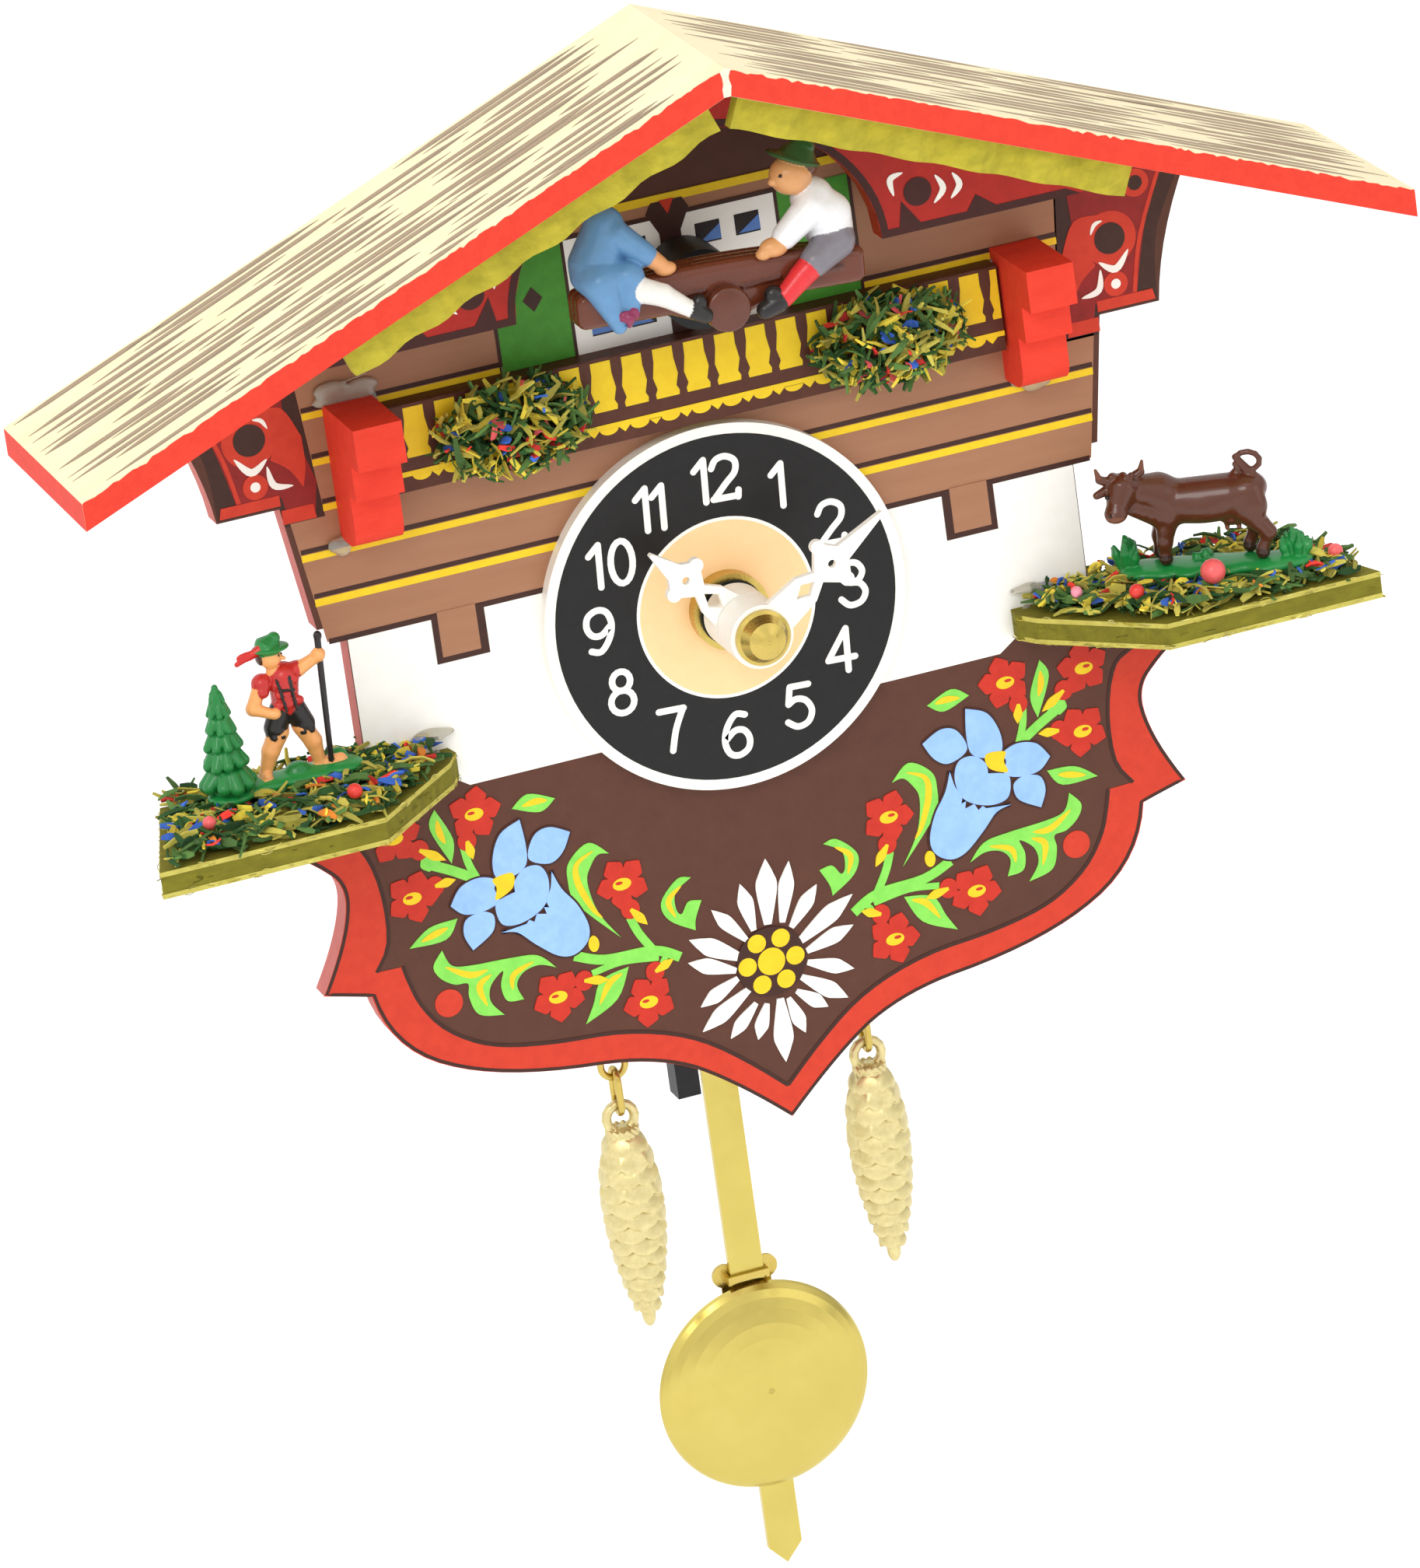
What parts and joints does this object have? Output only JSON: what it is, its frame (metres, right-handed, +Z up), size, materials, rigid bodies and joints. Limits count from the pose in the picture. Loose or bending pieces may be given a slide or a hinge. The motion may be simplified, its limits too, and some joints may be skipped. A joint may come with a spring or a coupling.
{
  "type": "miniature chalet wall clock",
  "caption": "Small chalet-shaped quartz wall clock with gabled roof, side shelves with figures, round dial, rocking seesaw, disc pendulum and hanging pine-cone weights.",
  "frame": {"origin": "centre of the nail hole in the hanger plate, at the wall plane", "axes": "+X to the right as seen from the front, +Y into the wall, +Z up; the dial faces -Y"},
  "size_m": [0.1594, 0.063, 0.2062],
  "materials": {
    "printed_board": "printed hardboard with raw fibre edges",
    "red_board": "printed hardboard",
    "yellow_board": "printed hardboard",
    "cream_roof": "painted board with streaks, sponged red edges",
    "dyed_strip": "green dyed wood",
    "red_block": "painted wood",
    "olive_wood": "dyed wood with fuzz",
    "wood_chips": "dyed wood chips",
    "seesaw_brown": "painted plastic",
    "painted_figure": "hand-painted plastic",
    "meadow_green": "painted plastic",
    "cow_brown": "glossy painted plastic",
    "tree_green": "painted plastic",
    "black_plastic": "moulded",
    "dial_card": "printed plastic",
    "brass": "satin",
    "white_plastic": "moulded",
    "gold_plastic": "gold paint",
    "steel": "plain",
    "copper_wire": "enamelled",
    "circuit": "solder resist",
    "cell_wrap": "plain sleeve",
    "magnet": "sintered"
  },
  "bodies": {
    "house": {"front_plate": "printed_board", "gable_board": "red_board", "balcony_rail": "yellow_board", "roof_left": "cream_roof", "roof_right": "cream_roof", "valance_left": "dyed_strip", "valance_right": "dyed_strip", "bracket_left": "red_block", "bracket_right": "red_block", "flowers_left": "wood_chips", "flowers_right": "wood_chips", "shelf_left": "olive_wood", "shelf_right": "olive_wood", "turf_left": "wood_chips", "turf_right": "wood_chips", "hiker": "painted_figure", "fir_tree": "tree_green", "cow": "cow_brown", "cow_meadow": "meadow_green", "dial": "dial_card", "shaft_nut": "brass", "case_front": "black_plastic", "case_back": "black_plastic", "circuit_board": "circuit", "stator": "steel", "drive_coil": "copper_wire", "battery": "cell_wrap", "battery_contacts": "steel", "pendulum_cradle": "black_plastic", "pendulum_coil": "copper_wire", "leader_pin": "steel", "weight_hooks": "steel"},
    "rotor": {"rotor": "magnet"},
    "step_wheel": {"step_wheel": "white_plastic"},
    "second_wheel": {"second_wheel": "white_plastic"},
    "third_wheel": {"third_wheel": "white_plastic"},
    "centre_wheel": {"centre_wheel": "white_plastic"},
    "minute_hand": {"minute_hand": "white_plastic", "minute_arbor": "white_plastic", "hand_cap": "brass"},
    "hour_hand": {"hour_hand": "white_plastic", "hour_wheel": "white_plastic"},
    "motion_wheel": {"motion_wheel": "white_plastic"},
    "setting_knob": {"setting_knob": "white_plastic"},
    "pendulum": {"pendulum_leader": "black_plastic", "leader_magnet": "magnet", "pendulum_rod": "gold_plastic"},
    "bob": {"bob_front": "brass", "bob_back": "brass", "bob_clip": "brass"},
    "seesaw": {"seesaw_plank": "seesaw_brown", "girl": "painted_figure", "boy": "painted_figure", "rocker_disc": "black_plastic", "rocker_axle": "steel", "rocker_crank": "black_plastic"},
    "chain_left": {"chain_left": "brass"},
    "cone_left": {"cone_left": "gold_plastic"},
    "chain_right": {"chain_right": "brass"},
    "cone_right": {"cone_right": "gold_plastic"}
  },
  "joints": [
    {"name": "rotor_spin", "type": "hinge", "parent": "house", "child": "rotor", "pos_m": [0.00933, -0.02, -0.0341], "axis": [0, 1, 0], "continuous": true},
    {"name": "step_wheel_spin", "type": "hinge", "parent": "house", "child": "step_wheel", "pos_m": [0.00084, -0.021, -0.0292], "axis": [0, 1, 0], "continuous": true},
    {"name": "second_wheel_spin", "type": "hinge", "parent": "house", "child": "second_wheel", "pos_m": [-0.00876, -0.022, -0.0292], "axis": [0, 1, 0], "continuous": true},
    {"name": "third_wheel_spin", "type": "hinge", "parent": "house", "child": "third_wheel", "pos_m": [-0.01184, -0.024, -0.04069], "axis": [0, 1, 0], "continuous": true},
    {"name": "centre_wheel_spin", "type": "hinge", "parent": "house", "child": "centre_wheel", "pos_m": [0, -0.025, -0.045], "axis": [0, 1, 0], "continuous": true},
    {"name": "minute_hand_spin", "type": "hinge", "parent": "house", "child": "minute_hand", "pos_m": [0, -0.046, -0.045], "axis": [0, 1, 0], "continuous": true},
    {"name": "hour_hand_spin", "type": "hinge", "parent": "house", "child": "hour_hand", "pos_m": [0, -0.041, -0.045], "axis": [0, 1, 0], "continuous": true},
    {"name": "motion_wheel_spin", "type": "hinge", "parent": "house", "child": "motion_wheel", "pos_m": [0.00789, -0.028, -0.04787], "axis": [0, 1, 0], "continuous": true},
    {"name": "setting_knob_spin", "type": "hinge", "parent": "house", "child": "setting_knob", "pos_m": [0.01579, -0.012, -0.045], "axis": [0, 1, 0], "continuous": true},
    {"name": "pendulum_swing", "type": "hinge", "parent": "house", "child": "pendulum", "pos_m": [0, -0.0066, -0.031], "axis": [0, 1, 0], "range_deg": [-7, 7]},
    {"name": "seesaw_rock", "type": "hinge", "parent": "house", "child": "seesaw", "pos_m": [0, -0.034, -0.0042], "axis": [0, 1, 0], "range_deg": [-7, 7]},
    {"name": "bob_slide", "type": "slide", "parent": "pendulum", "child": "bob", "axis": [0, 0, 1], "range_m": [-0.004, 0.004]},
    {"name": "chain_left_swing", "type": "hinge", "parent": "house", "child": "chain_left", "pos_m": [-0.0188, -0.0266, -0.097], "axis": [0, 1, 0], "range_deg": [-20, 20]},
    {"name": "cone_left_swing", "type": "hinge", "parent": "chain_left", "child": "cone_left", "pos_m": [-0.0188, -0.0266, -0.10695], "axis": [0, 1, 0], "range_deg": [-20, 20]},
    {"name": "chain_right_swing", "type": "hinge", "parent": "house", "child": "chain_right", "pos_m": [0.0126, -0.0266, -0.097], "axis": [0, 1, 0], "range_deg": [-20, 20]},
    {"name": "cone_right_swing", "type": "hinge", "parent": "chain_right", "child": "cone_right", "pos_m": [0.0126, -0.0266, -0.10695], "axis": [0, 1, 0], "range_deg": [-20, 20]}
  ],
  "couplings": [
    {"joint": "step_wheel_spin", "follows": "rotor_spin", "ratio": -0.16667},
    {"joint": "second_wheel_spin", "follows": "rotor_spin", "ratio": 0.033333},
    {"joint": "third_wheel_spin", "follows": "rotor_spin", "ratio": -0.0044444},
    {"joint": "centre_wheel_spin", "follows": "rotor_spin", "ratio": 0.00055556},
    {"joint": "hour_hand_spin", "follows": "minute_hand_spin", "ratio": 0.083333},
    {"joint": "motion_wheel_spin", "follows": "minute_hand_spin", "ratio": -0.33333},
    {"joint": "setting_knob_spin", "follows": "minute_hand_spin", "ratio": 1},
    {"joint": "seesaw_rock", "follows": "pendulum_swing", "ratio": -1}
  ]
}
